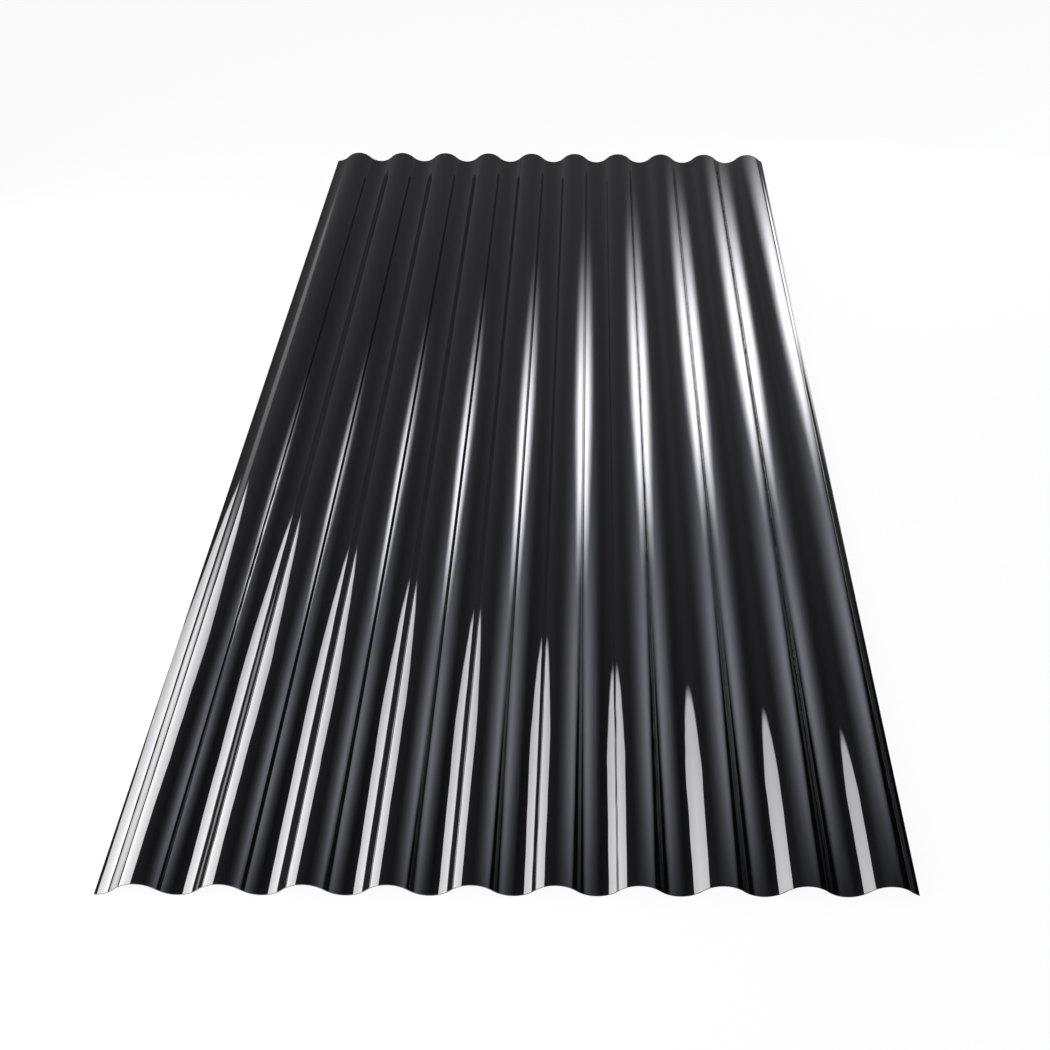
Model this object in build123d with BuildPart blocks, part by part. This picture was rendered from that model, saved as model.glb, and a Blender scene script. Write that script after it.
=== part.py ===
"""Corrugated polycarbonate roofing sheet: one extruded sheet, waved across its width.

The sheet lies flat with its waves running along Y. X is its width and Z points up.
The origin is on the floor, under the middle of the sheet. Sizes are in millimetres.
"""

import os
from math import asin, ceil, degrees

from build123d import *

# Driving dimensions
sheet_width = 660.0  # overall, straight across the waves (26 in)
sheet_length = 1372.0  # along the waves (4 ft 6 in)
sheet_thickness = 0.8
wave_pitch = 67.0  # crest to crest
wave_depth = 13.5  # valley to crest, on the same face of the sheet

# Each half wave is one arc, from flank to flank over a crest or under a valley. All
# have one radius. They meet halfway up the flank, tangent, with no flat between them.
half_pitch = wave_pitch / 2
half_depth = wave_depth / 2
wave_radius = ((half_pitch / 2) ** 2 + half_depth**2) / wave_depth
flank_tilt = degrees(asin(half_pitch / 2 / wave_radius))

# The middle of the sheet's wall swings half a depth each way about this height,
# which puts the underside of the valleys on the floor.
middle_height = half_depth + sheet_thickness / 2
sheet_height = wave_depth + sheet_thickness

# Half waves are counted from the left edge, which is cut along the bottom of a
# valley. The last one is the first to reach past the right edge.
left_edge = -sheet_width / 2
half_wave_count = ceil(sheet_width / half_pitch + 0.5)


def half_wave(number, lift):
    """One arc of the face that lies lift above the middle of the wall."""
    side = 1 if number % 2 else -1  # crest or valley
    centre_height = middle_height + side * (half_depth - wave_radius)
    return CenterArc(
        center=(left_edge + number * half_pitch, centre_height),
        radius=wave_radius + side * lift,
        start_angle=side * (90 + flank_tilt),
        arc_size=-side * 2 * flank_tilt,
    )


def wave_line(lift):
    """A whole face of the sheet as a chain of arcs. Returns its left and right ends."""
    arcs = [half_wave(number, lift) for number in range(half_wave_count)]
    return arcs[0] @ 0, arcs[-1] @ 1


# The wave section stands in the XZ plane, a little too wide at both ends. Upright
# cuts trim it to the sheet's width, and it is extruded half the length each way.
with BuildPart() as sheet:
    with BuildSketch(Plane.XZ):
        with BuildLine():
            top_left, top_right = wave_line(sheet_thickness / 2)
            bottom_left, bottom_right = wave_line(-sheet_thickness / 2)
            Line(top_left, bottom_left)
            Line(top_right, bottom_right)
        make_face()
        with Locations((0, sheet_height / 2)):
            Rectangle(sheet_width, 2 * sheet_height, mode=Mode.INTERSECT)
    extrude(amount=sheet_length / 2, both=True)

sheet.part.label = "corrugated_sheet"

os.makedirs("parts", exist_ok=True)
export_step(sheet.part, "parts/corrugated_sheet.step")
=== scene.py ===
# %% [markdown]
# # A glossy black corrugated roofing sheet
#
# The object is one piece of stock: a thin sheet of polycarbonate that was extruded
# flat and formed into round waves while it was warm. It has no parts to join and
# nothing moves. All of its looks come from three things: the exact curve of the wave,
# the gloss of the plastic, and what there is around it to be mirrored.
#
# This lesson loads the CAD model as a frame, makes a finer mesh of the same wave,
# gives it a black plastic finish, and then builds the camera, floor and studio lights.

# %% Load the frame
from math import asin, ceil, cos, pi, radians, sin

import bpy
from mathutils import Matrix, Vector


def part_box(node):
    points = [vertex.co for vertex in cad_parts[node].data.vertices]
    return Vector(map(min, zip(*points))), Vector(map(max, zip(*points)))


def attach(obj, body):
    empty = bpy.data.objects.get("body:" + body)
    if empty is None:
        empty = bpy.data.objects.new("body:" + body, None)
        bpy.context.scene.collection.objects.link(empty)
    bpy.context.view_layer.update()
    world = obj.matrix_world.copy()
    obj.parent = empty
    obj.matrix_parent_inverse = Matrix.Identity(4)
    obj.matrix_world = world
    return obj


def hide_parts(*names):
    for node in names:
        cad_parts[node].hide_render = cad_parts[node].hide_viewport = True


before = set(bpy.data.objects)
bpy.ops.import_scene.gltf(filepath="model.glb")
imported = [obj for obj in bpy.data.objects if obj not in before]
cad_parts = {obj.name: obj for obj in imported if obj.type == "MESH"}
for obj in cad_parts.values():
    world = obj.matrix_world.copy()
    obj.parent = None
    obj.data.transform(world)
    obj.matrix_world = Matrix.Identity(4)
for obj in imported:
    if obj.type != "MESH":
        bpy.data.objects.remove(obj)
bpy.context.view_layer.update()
low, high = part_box("corrugated_sheet")
print("CAD box in millimetres:", [round(1000 * side, 2) for side in high - low])

# %% [markdown]
# ## The wave
#
# On the real sheet every half wave is close to one arc of a circle: over a crest, then
# under a valley, with no flat between. A CAD export turns those arcs into a few flat
# strips. That is enough for a collision test, but a glossy surface shows each strip as
# a band, because a reflection moves twice as fast as the surface turns.
#
# One could add a subdivision modifier to the CAD mesh, but that would pull its cut
# edges round. So the section is worked out again here from the same circle, with many
# points. The pitch and the wall are the sheet's own sizes, and the rest comes from the
# CAD box, so that the finer sheet fits inside it.

# %% Work out the circle of the wave
WAVE_PITCH = 0.067
WALL = 0.0008

sheet_width = high.x - low.x
sheet_length = high.y - low.y
wave_depth = high.z - low.z - WALL
half_pitch = WAVE_PITCH / 2
wave_radius = ((half_pitch / 2) ** 2 + (wave_depth / 2) ** 2) / wave_depth
flank_tilt = asin(half_pitch / 2 / wave_radius)
middle_height = (low.z + high.z) / 2
print(f"wave depth {1000 * wave_depth:.2f} mm, radius {1000 * wave_radius:.2f} mm")
print(f"steepest flank {flank_tilt * 180 / pi:.1f} degrees")


# %% [markdown]
# A point of the section is given by how far round its arc it is. Stepping by equal
# angles spends the points evenly on what a mirror-like surface shows, which is the
# direction that it faces. The lift moves the point off the middle of the wall, along
# the wave's own normal, so both faces stay one wall apart even on the steep flanks.

# %% Walk along the wave
STEPS_PER_HALF_WAVE = 24


def section_point(half_wave, turn, lift):
    """The x and z of one point. turn goes from -flank_tilt to flank_tilt on each arc."""
    side = 1 if half_wave % 2 else -1
    centre_x = low.x + half_wave * half_pitch
    centre_z = middle_height + side * (wave_depth / 2 - wave_radius)
    reach = wave_radius + side * lift
    return centre_x + reach * sin(turn), centre_z + side * reach * cos(turn)


def cut_turn(half_wave, x, lift):
    """How far round its arc the section meets the upright cut at x."""
    side = 1 if half_wave % 2 else -1
    centre_x = low.x + half_wave * half_pitch
    return asin((x - centre_x) / (wave_radius + side * lift))


def section_line(lift):
    """One face of the sheet from the left cut to the right cut."""
    last = round((high.x - low.x) / half_pitch)
    points = []
    for half_wave in range(last + 1):
        start = -flank_tilt
        end = flank_tilt
        if half_wave == 0:
            start = cut_turn(half_wave, low.x, lift)
        if half_wave == last:
            end = cut_turn(half_wave, high.x, lift)
        steps = max(2, ceil(STEPS_PER_HALF_WAVE * (end - start) / (2 * flank_tilt)))
        first_step = 0 if half_wave == 0 else 1
        for step in range(first_step, steps + 1):
            turn = start + (end - start) * step / steps
            points.append(section_point(half_wave, turn, lift))
    return points


top_line = section_line(WALL / 2)
bottom_line = section_line(-WALL / 2)
print(len(top_line), "points on the top face,", len(bottom_line), "on the bottom")

# %% [markdown]
# ## The mesh
#
# The section is the same all along the sheet, so rows of it are joined with quads. The
# top and the bottom faces are smooth. The four cut edges are flat and sharp, as a saw
# leaves them, so their faces get their own vertices and no shading runs round them.

# %% Build the sheet
ROWS = 56


def add_grid(lines, vertices, faces, smooth_flags, smooth, flip):
    """Adds a grid of quads through equally long lines of points."""
    base = len(vertices)
    width = len(lines[0])
    for line in lines:
        vertices.extend(line)
    for row in range(len(lines) - 1):
        for column in range(width - 1):
            corner = base + row * width + column
            quad = [corner, corner + 1, corner + width + 1, corner + width]
            faces.append(quad[::-1] if flip else quad)
            smooth_flags.append(smooth)


def sheet_mesh(name):
    """The waved sheet as a closed shell with sharp cut edges."""
    rows = [low.y + sheet_length * row / ROWS for row in range(ROWS + 1)]
    vertices = []
    faces = []
    smooth_flags = []
    top_rows = [[(x, y, z) for x, z in top_line] for y in rows]
    bottom_rows = [[(x, y, z) for x, z in bottom_line] for y in rows]
    add_grid(top_rows, vertices, faces, smooth_flags, True, False)
    add_grid(bottom_rows, vertices, faces, smooth_flags, True, True)
    add_grid([bottom_rows[0], top_rows[0]], vertices, faces, smooth_flags, False, False)
    add_grid([bottom_rows[-1], top_rows[-1]], vertices, faces, smooth_flags, False, True)
    for column, flip in ((0, True), (-1, False)):
        bottom_edge = [row[column] for row in bottom_rows]
        top_edge = [row[column] for row in top_rows]
        add_grid([bottom_edge, top_edge], vertices, faces, smooth_flags, False, flip)
    mesh = bpy.data.meshes.new(name)
    mesh.from_pydata(vertices, [], faces)
    mesh.polygons.foreach_set("use_smooth", smooth_flags)
    edge_flags = [0 if smooth else 1 for smooth in smooth_flags]
    mesh.polygons.foreach_set("material_index", edge_flags)
    mesh.update()
    return mesh


sheet = bpy.data.objects.new("glossy_sheet", sheet_mesh("glossy_sheet"))
bpy.context.scene.collection.objects.link(sheet)
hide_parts("corrugated_sheet")
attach(sheet, "root")
print(len(sheet.data.polygons), "faces in the sheet")

# %% [markdown]
# ## Black gloss plastic
#
# Polycarbonate is clear by itself. Here it is filled with black, so hardly any light
# comes back from inside it and almost all that one sees is the mirror image in its
# skin. The Principled shader does this with a nearly black base, the index of
# refraction of polycarbonate and a low roughness.
#
# A mirror shows faults of a tenth of a degree. So the sheet gets fine lines along it,
# such as the lips of an extrusion die draw, long shallow swells and short ripples. A
# fourth fault makes the wave depart a little from its circles, with a narrow steep strip
# on each right-hand flank. It is there for the looks, because with it the streaks fall
# where the photograph has them. The photograph's wavy edges neither confirm it nor rule
# it out, so the mesh keeps its circles. All four are bumps: heights in metres, which the
# shader turns into small turns of the surface.

# %% Add small helpers for node trees
POLYCARBONATE_INDEX = 1.585


def new_material(name):
    """An empty node material and its Principled shader."""
    material = bpy.data.materials.new(name)
    material.use_nodes = True
    return material, material.node_tree.nodes["Principled BSDF"]


def calculate(tree, operation, first, second=None, third=None):
    """One Math node. Each input is a number or the output of another node."""
    node = tree.nodes.new("ShaderNodeMath")
    node.operation = operation
    for socket, value in zip(node.inputs, (first, second, third)):
        if isinstance(value, (int, float)):
            socket.default_value = value
        elif value is not None:
            tree.links.new(value, socket)
    return node.outputs[0]


def smooth_step(tree, value, start, end, start_result, end_result):
    """Goes smoothly from one result to the other while the value goes from start to end."""
    node = tree.nodes.new("ShaderNodeMapRange")
    node.interpolation_type = "SMOOTHSTEP"
    tree.links.new(value, node.inputs["Value"])
    node.inputs["From Min"].default_value = start
    node.inputs["From Max"].default_value = end
    node.inputs["To Min"].default_value = start_result
    node.inputs["To Max"].default_value = end_result
    return node.outputs["Result"]


# %% [markdown]
# The bump needs to know where on the wave it is. That is the distance from the left
# edge in pitches, without its whole part: 0 and 1 are the bottoms of two neighbouring
# valleys, 0.5 is the crest between and 0.75 the middle of the right-hand flank.
#
# A Float Curve node holds how far the wave departs from its circle there, in millimetres, as a short
# line of points. They aren't measured on a sheet. A fit of the streaks gave the trend, and the points
# were thinned out and rounded from it. The curve climbs over the crest and drops from 0.76 to 0.80,
# which is the steep strip. It runs smoothly through its points, except at those two, where the strip
# has its edges: a fold there gives the dark line that each streak has in its middle.

# %% Bend the wave a little
WAVE_ERROR = [
    (0.0, 0.0),
    (0.1, -0.1),
    (0.25, 0.05),
    (0.35, 0.4),
    (0.5, 0.5),
    (0.76, 1.5),
    (0.8, 0.7),
    (1.0, 0.0),
]
STEEP_STRIP = (0.76, 0.80)
ERROR_LOW = -0.5
ERROR_HIGH = 2.0


def wave_error(tree, wave_place):
    """The height in metres by which the wave departs from its circle."""
    node = tree.nodes.new("ShaderNodeFloatCurve")
    curve = node.mapping.curves[0]
    curve.points[0].location = (0.0, (WAVE_ERROR[0][1] - ERROR_LOW) / (ERROR_HIGH - ERROR_LOW))
    curve.points[1].location = (1.0, (WAVE_ERROR[-1][1] - ERROR_LOW) / (ERROR_HIGH - ERROR_LOW))
    for position, height in WAVE_ERROR[1:-1]:
        curve.points.new(position, (height - ERROR_LOW) / (ERROR_HIGH - ERROR_LOW))
    node.mapping.update()
    for point in curve.points:
        if any(abs(point.location.x - edge) < 0.001 for edge in STEEP_STRIP):
            point.handle_type = "VECTOR"
    node.mapping.update()
    tree.links.new(wave_place, node.inputs["Value"])
    span = (ERROR_HIGH - ERROR_LOW) / 1000
    return calculate(tree, "MULTIPLY", node.outputs["Value"], span)


def stretched_noise(tree, place, across, along, height):
    """Noise with its lumps across and along metres in size, height metres high."""
    stretch = tree.nodes.new("ShaderNodeVectorMath")
    stretch.operation = "MULTIPLY"
    stretch.inputs[1].default_value = (1 / across, 1 / along, 0)
    tree.links.new(place, stretch.inputs[0])
    noise = tree.nodes.new("ShaderNodeTexNoise")
    noise.inputs["Scale"].default_value = 1.0
    noise.inputs["Detail"].default_value = 1.0
    tree.links.new(stretch.outputs[0], noise.inputs["Vector"])
    return calculate(tree, "MULTIPLY", noise.outputs[0], height)


# %% Make the plastic
NEARLY_BLACK = (0.0055, 0.0055, 0.0063, 1)
# The size of each fault across and along the sheet, and its height, in metres.
SWELLS = (0.022, 0.16, 0.00005)
RIPPLES = (0.004, 0.045, 0.00006)
DIE_LINES = (0.003, 0.35, 0.000006)
# The roughness drifts between these two from place to place.
GLOSS = (0.012, 0.026)

plastic, plastic_shader = new_material("black_gloss_polycarbonate")
plastic_shader.inputs["Base Color"].default_value = NEARLY_BLACK
plastic_shader.inputs["IOR"].default_value = POLYCARBONATE_INDEX
plastic_tree = plastic.node_tree
place = plastic_tree.nodes.new("ShaderNodeTexCoord").outputs["Object"]
place_parts = plastic_tree.nodes.new("ShaderNodeSeparateXYZ")
plastic_tree.links.new(place, place_parts.inputs[0])
pitches = calculate(plastic_tree, "SUBTRACT", place_parts.outputs["X"], low.x)
pitches = calculate(plastic_tree, "DIVIDE", pitches, WAVE_PITCH)
wave_place = calculate(plastic_tree, "FRACT", pitches)

height = wave_error(plastic_tree, wave_place)
for across, along, tall in (SWELLS, RIPPLES, DIE_LINES):
    unevenness = stretched_noise(plastic_tree, place, across, along, tall)
    height = calculate(plastic_tree, "ADD", height, unevenness)
bump = plastic_tree.nodes.new("ShaderNodeBump")
bump.inputs["Strength"].default_value = 1.0
bump.inputs["Distance"].default_value = 1.0
plastic_tree.links.new(height, bump.inputs["Height"])
plastic_tree.links.new(bump.outputs["Normal"], plastic_shader.inputs["Normal"])

haze = stretched_noise(plastic_tree, place, 0.03, 0.12, 1.0)
haze = smooth_step(plastic_tree, haze, 0.3, 0.7, *GLOSS)
plastic_tree.links.new(haze, plastic_shader.inputs["Roughness"])
sheet.data.materials.append(plastic)

# %% [markdown]
# The four cut edges were sawn. They are the same black plastic, but the teeth leave them
# matt and slightly grey, with fine marks.

# %% Make the sawn edge
SAWN_GREY = (0.02, 0.02, 0.021, 1)
TOOTH_MARKS = (0.0006, 0.0006, 0.00005)
SAWN_ROUGHNESS = (0.35, 0.55)

sawn, sawn_shader = new_material("sawn_polycarbonate_edge")
sawn_shader.inputs["Base Color"].default_value = SAWN_GREY
sawn_shader.inputs["IOR"].default_value = POLYCARBONATE_INDEX
sawn_tree = sawn.node_tree
sawn_place = sawn_tree.nodes.new("ShaderNodeTexCoord").outputs["Object"]
tooth_marks = stretched_noise(sawn_tree, sawn_place, *TOOTH_MARKS)
sawn_bump = sawn_tree.nodes.new("ShaderNodeBump")
sawn_bump.inputs["Distance"].default_value = 1.0
sawn_tree.links.new(tooth_marks, sawn_bump.inputs["Height"])
sawn_tree.links.new(sawn_bump.outputs["Normal"], sawn_shader.inputs["Normal"])
sawn_dull = stretched_noise(sawn_tree, sawn_place, 0.004, 0.004, 1.0)
sawn_dull = smooth_step(sawn_tree, sawn_dull, 0.3, 0.7, *SAWN_ROUGHNESS)
sawn_tree.links.new(sawn_dull, sawn_shader.inputs["Roughness"])
sheet.data.materials.append(sawn)

# %% [markdown]
# ## The camera
#
# The sheet was seen from above its near end, with the waves running away from the
# viewer. The lines that run away meet at one point. The camera below was fitted to that
# point, the corners and the wavy ends, for a sheet of this size, and then rounded.

# %% Place the camera
IMAGE_SIZE = 1050
FOCAL_PIXELS = 1400.4
AXIS_COLUMN = 596.5
SENSOR = 36.0
camera_place = Vector((0.0645, -1.3701, 0.9359))
look_down = radians(38.98)
look_right = radians(0.36)
camera_roll = radians(0.50)

camera_data = bpy.data.cameras.new("camera")
camera_data.sensor_width = SENSOR
camera_data.lens = SENSOR * FOCAL_PIXELS / IMAGE_SIZE
camera_data.shift_x = -(AXIS_COLUMN - IMAGE_SIZE / 2) / IMAGE_SIZE
camera = bpy.data.objects.new("camera", camera_data)
bpy.context.scene.collection.objects.link(camera)
bpy.context.scene.camera = camera

ahead = Vector((sin(look_right), cos(look_right), 0))
across = Vector((cos(look_right), -sin(look_right), 0))
forward = ahead * cos(look_down) - Vector((0, 0, sin(look_down)))
upward = ahead * sin(look_down) + Vector((0, 0, cos(look_down)))
right = across * cos(camera_roll) + upward * sin(camera_roll)
top = upward * cos(camera_roll) - across * sin(camera_roll)
turned = Matrix((right, top, -forward)).transposed().to_4x4()
camera.matrix_world = Matrix.Translation(camera_place) @ turned
print(f"lens {camera_data.lens:.1f} mm, shift {camera_data.shift_x:.3f}")

# %% [markdown]
# ## The floor
#
# The sheet lies on clean white paper. White paper under lamps of this strength would
# come out light grey, and more light would spoil the black. So the paper gives off most
# of its white by itself, and the rest is an ordinary pale surface that keeps the sheet's
# soft shadow.
#
# In mirror images the paper can't be white all over, because a black mirror would show it as bright
# lines wherever a ray slips past an edge. There it glows with two painted pools of light, at the front
# left and at the far right, where the outer waves of the photograph mirror something bright. No lamp
# makes them: the paper gives them off itself, and only mirror images show them.

# %% Lay the floor
FLOOR_SIZE = 40.0
FLOOR_DROP = 0.0002
OWN_WHITE = 0.95
# How brightly the paper glows in mirror images. This is painted light: in the pools, around them and
# beyond the far end of the sheet.
PAINTED_POOL_GLOW = 3.9
PAINTED_POOL_REST = 0.4
BEFORE_PAINTED_POOL = 0.05
PAINTED_GLOW_BEYOND_END = 0.12
# Where each painted pool of light begins and ends: left to right, and front to back.
LEFT_POOL_SIDE = (-0.1, 0.2)
LEFT_POOL_BACK = (-0.42, -0.12)
RIGHT_POOL_SIDE = (0.1, 0.3)
RIGHT_POOL_FRONT = (0.05, 0.25)
FAR_END = (0.45, 0.68)

floor_mesh = bpy.data.meshes.new("floor")
half_floor = FLOOR_SIZE / 2
corner_signs = ((-1, -1), (1, -1), (1, 1), (-1, 1))
floor_corners = [(x * half_floor, y * half_floor, -FLOOR_DROP) for x, y in corner_signs]
floor_mesh.from_pydata(floor_corners, [], [(0, 1, 2, 3)])
floor = bpy.data.objects.new("floor", floor_mesh)
bpy.context.scene.collection.objects.link(floor)

paper, paper_shader = new_material("white_paper")
paper_shader.inputs["Base Color"].default_value = (0.8, 0.8, 0.8, 1)
paper_shader.inputs["Roughness"].default_value = 1.0
paper_shader.inputs["Specular IOR Level"].default_value = 0.0
paper_tree = paper.node_tree
light_path = paper_tree.nodes.new("ShaderNodeLightPath")
own_white_and_painted_pools = paper_tree.nodes.new("ShaderNodeEmission")
paper_place = paper_tree.nodes.new("ShaderNodeSeparateXYZ")
paper_coordinates = paper_tree.nodes.new("ShaderNodeTexCoord")
paper_tree.links.new(paper_coordinates.outputs["Object"], paper_place.inputs[0])
paper_x = paper_place.outputs["X"]
paper_y = paper_place.outputs["Y"]
# The two pools are painted light: the paper glows there by itself, and only mirror images show it.
left_painted_pool = calculate(
    paper_tree,
    "MULTIPLY",
    smooth_step(paper_tree, paper_x, *LEFT_POOL_SIDE, 1.0, 0.0),
    smooth_step(paper_tree, paper_y, *LEFT_POOL_BACK, PAINTED_POOL_GLOW, PAINTED_POOL_REST),
)
right_painted_pool = calculate(
    paper_tree,
    "MULTIPLY",
    smooth_step(paper_tree, paper_x, *RIGHT_POOL_SIDE, 0.0, 1.0),
    smooth_step(paper_tree, paper_y, *RIGHT_POOL_FRONT, BEFORE_PAINTED_POOL, PAINTED_POOL_GLOW),
)
both_painted_pools = calculate(paper_tree, "ADD", left_painted_pool, right_painted_pool)
beside = smooth_step(paper_tree, paper_y, *FAR_END, 1.0, 0.0)
glow_beyond_end_painted = smooth_step(paper_tree, paper_y, *FAR_END, 0.0, PAINTED_GLOW_BEYOND_END)
painted_pool_strength = calculate(paper_tree, "MULTIPLY_ADD", both_painted_pools, beside, glow_beyond_end_painted)

# For the camera the paper glows an even white. For mirror images it glows with the painted pools of
# light.
camera_ray = light_path.outputs["Is Camera Ray"]
directly = calculate(paper_tree, "MAXIMUM", camera_ray, light_path.outputs["Is Transmission Ray"])
painted_reflection_strength = calculate(paper_tree, "MULTIPLY", light_path.outputs["Is Glossy Ray"], painted_pool_strength)
white = calculate(paper_tree, "MAXIMUM", directly, painted_reflection_strength)
paper_tree.links.new(white, own_white_and_painted_pools.inputs["Strength"])
seen = calculate(paper_tree, "MAXIMUM", directly, light_path.outputs["Is Glossy Ray"])
seen = calculate(paper_tree, "MULTIPLY", seen, OWN_WHITE)
paper_mix = paper_tree.nodes.new("ShaderNodeMixShader")
paper_tree.links.new(seen, paper_mix.inputs["Fac"])
paper_tree.links.new(paper_shader.outputs["BSDF"], paper_mix.inputs[1])
paper_tree.links.new(own_white_and_painted_pools.outputs["Emission"], paper_mix.inputs[2])
paper_tree.links.new(paper_mix.outputs["Shader"], paper_tree.nodes["Material Output"].inputs["Surface"])
floor_mesh.materials.append(paper)

# %% [markdown]
# ## The studio lights
#
# A black mirror is lit by what it mirrors. Each streak in the photograph is the image
# of a lamp, squeezed sideways by the round of a wave. The hard-edged ones are taken for
# a bare panel on the left, and the soft ones for a diffuser beyond the far right corner.
# A camera that sees the streak and a wave whose slope is known give a line to the lamp.
# The first three lamps below were fitted that way to all the streaks at once, together
# with the bend of the wave, and then rounded. Other lamps could give much the same image.
#
# A Blender area lamp is evenly bright with hard edges. A diffuser isn't: it is brightest
# behind its lamp and fades to its rim. A lamp can have nodes too, and the Parametric
# output of Geometry tells where on the lamp's face a ray came from, from 0 to 1 each way.

# %% Make a softbox
def softbox(name, middle, aim, size, brightness, slopes, fades, colour, peak=1.0):
    """A rectangular lamp that fades to its edges.

    aim is its yaw, pitch and roll in degrees: which way its back points. slopes say how
    much brighter it gets from the middle to its right-hand and upper edges, as seen from
    the sheet. fades say how far in from the sides, the top and the bottom it fades, where
    1 is from an edge to the middle. A peak over 1 gathers the light.
    """
    data = bpy.data.lights.new(name, "AREA")
    data.shape = "RECTANGLE"
    data.size, data.size_y = size
    data.energy = brightness * pi * size[0] * size[1]
    data.color = colour
    data.use_nodes = True
    tree = data.node_tree
    geometry = tree.nodes.new("ShaderNodeNewGeometry")
    parts = tree.nodes.new("ShaderNodeSeparateXYZ")
    tree.links.new(geometry.outputs["Parametric"], parts.inputs[0])
    along = calculate(tree, "MULTIPLY_ADD", parts.outputs["X"], -2.0, 1.0)
    up = calculate(tree, "MULTIPLY_ADD", parts.outputs["Y"], 2.0, -1.0)
    strength = calculate(tree, "MULTIPLY_ADD", along, slopes[0], 1.0)
    strength = calculate(tree, "MULTIPLY_ADD", up, slopes[1], strength)
    strength = calculate(tree, "MAXIMUM", strength, 0.0)
    sideways = calculate(tree, "ABSOLUTE", along)
    edges = (
        smooth_step(tree, sideways, 1.0 - fades[0], 1.0, 1.0, 0.0),
        smooth_step(tree, up, 1.0 - fades[1], 1.0, 1.0, 0.0),
        smooth_step(tree, up, -1.0, fades[2] - 1.0, 0.0, 1.0),
    )
    for edge in edges:
        faded = calculate(tree, "POWER", edge, peak)
        strength = calculate(tree, "MULTIPLY", strength, faded)
    tree.links.new(strength, tree.nodes["Emission"].inputs["Strength"])

    yaw, pitch, roll = (radians(angle) for angle in aim)
    back = Vector((sin(yaw) * cos(pitch), cos(yaw) * cos(pitch), sin(pitch)))
    level = Vector((cos(yaw), -sin(yaw), 0))
    upright = level.cross(back)
    rightward = level * cos(roll) + upright * sin(roll)
    upward = upright * cos(roll) - level * sin(roll)
    lamp = bpy.data.objects.new(name, data)
    turned = Matrix((-rightward, upward, back)).transposed().to_4x4()
    lamp.matrix_world = Matrix.Translation(middle) @ turned
    lamp.visible_camera = False
    bpy.context.scene.collection.objects.link(lamp)
    print(f"{name}: {size[0]:.2f} x {size[1]:.2f} m, {data.energy:.1f} W")
    return lamp


# %% [markdown]
# The left panel makes the hard light-grey streaks at the near end. The diffuser makes
# the white streaks with soft ends, and the wide weak one over it the bluish glow beside
# the crests. An overhead panel is never mirrored towards this camera. It is there for
# the floor and for the other sides, as is a pair of weak panels behind the camera.

# %% Hang the lamps
softbox(
    "left_panel",
    middle=(-1.076, -0.497, 0.436),
    aim=(-72.2, 17.6, 2.0),
    size=(2.08, 0.72),
    brightness=14.8,
    slopes=(-0.62, 0.05),
    fades=(0.04, 0.08, 0.08),
    colour=(0.993, 0.987, 1.020),
)
softbox(
    "right_diffuser",
    middle=(0.607, 0.850, 0.393),
    aim=(9.4, -12.6, 0.6),
    size=(0.86, 0.77),
    brightness=15.3,
    slopes=(0.17, 0.83),
    fades=(0.86, 1.61, 0.05),
    colour=(0.990, 0.981, 1.029),
    peak=1.47,
)
softbox(
    "right_glow",
    middle=(1.016, 0.819, 0.854),
    aim=(-24.8, 30.9, 5.0),
    size=(2.73, 1.55),
    brightness=2.0,
    slopes=(0.43, 0.82),
    fades=(1.0, 1.0, 0.05),
    colour=(0.93, 0.96, 1.10),
)
softbox(
    "overhead_panel",
    middle=(0.0, 0.0, 2.6),
    aim=(0.0, 90.0, 0.0),
    size=(2.4, 2.4),
    brightness=0.9,
    slopes=(0.0, 0.0),
    fades=(0.6, 0.6, 0.6),
    colour=(1.0, 1.0, 1.0),
)
for side, name in ((-1, "rear_left_panel"), (1, "rear_right_panel")):
    softbox(
        name,
        middle=(side * 1.1, -2.6, 1.3),
        aim=(side * 157.0, 25.0, 0.0),
        size=(1.0, 1.4),
        brightness=3.0,
        slopes=(0.0, 0.0),
        fades=(0.8, 0.8, 0.8),
        colour=(1.0, 1.0, 1.0),
    )

# %% [markdown]
# What is left is the dim room. It is brightest low down ahead of the camera, as if a
# pale wall stood there, and fades to nothing to the sides and overhead. The world does
# this from the direction of a ray alone. Its y part is taken without its sign, so that
# the room has such a wall at both ends. For the camera itself the world is plain white.

# %% Dim the room
ROOM_RISE = 0.80
ROOM_CUT = -0.535
ROOM_TINT = (0.964, 0.964, 1.071, 1)

studio = bpy.data.worlds.new("studio")
bpy.context.scene.world = studio
studio.use_nodes = True
room = studio.node_tree
direction = room.nodes.new("ShaderNodeTexCoord")
direction_parts = room.nodes.new("ShaderNodeSeparateXYZ")
room.links.new(direction.outputs["Generated"], direction_parts.inputs[0])
endwise = calculate(room, "ABSOLUTE", direction_parts.outputs["Y"])
room_light = calculate(room, "MULTIPLY_ADD", endwise, ROOM_RISE, ROOM_CUT)
room_light = calculate(room, "MAXIMUM", room_light, 0.0)
room_path = room.nodes.new("ShaderNodeLightPath")
room_dark = room.nodes["Background"]
room_dark.inputs["Color"].default_value = ROOM_TINT
room.links.new(room_light, room_dark.inputs["Strength"])
room_white = room.nodes.new("ShaderNodeBackground")
room_white.inputs["Color"].default_value = (1, 1, 1, 1)
room_white.inputs["Strength"].default_value = 1.0
room_mix = room.nodes.new("ShaderNodeMixShader")
room.links.new(room_path.outputs["Is Camera Ray"], room_mix.inputs["Fac"])
room.links.new(room_dark.outputs[0], room_mix.inputs[1])
room.links.new(room_white.outputs[0], room_mix.inputs[2])
room.links.new(room_mix.outputs[0], room.nodes["World Output"].inputs["Surface"])

# %% [markdown]
# ## Finish
#
# The Standard view shows colours as they are. The CAD box was printed when the model was loaded.

# %% Set the view
bpy.context.scene.view_settings.view_transform = "Standard"
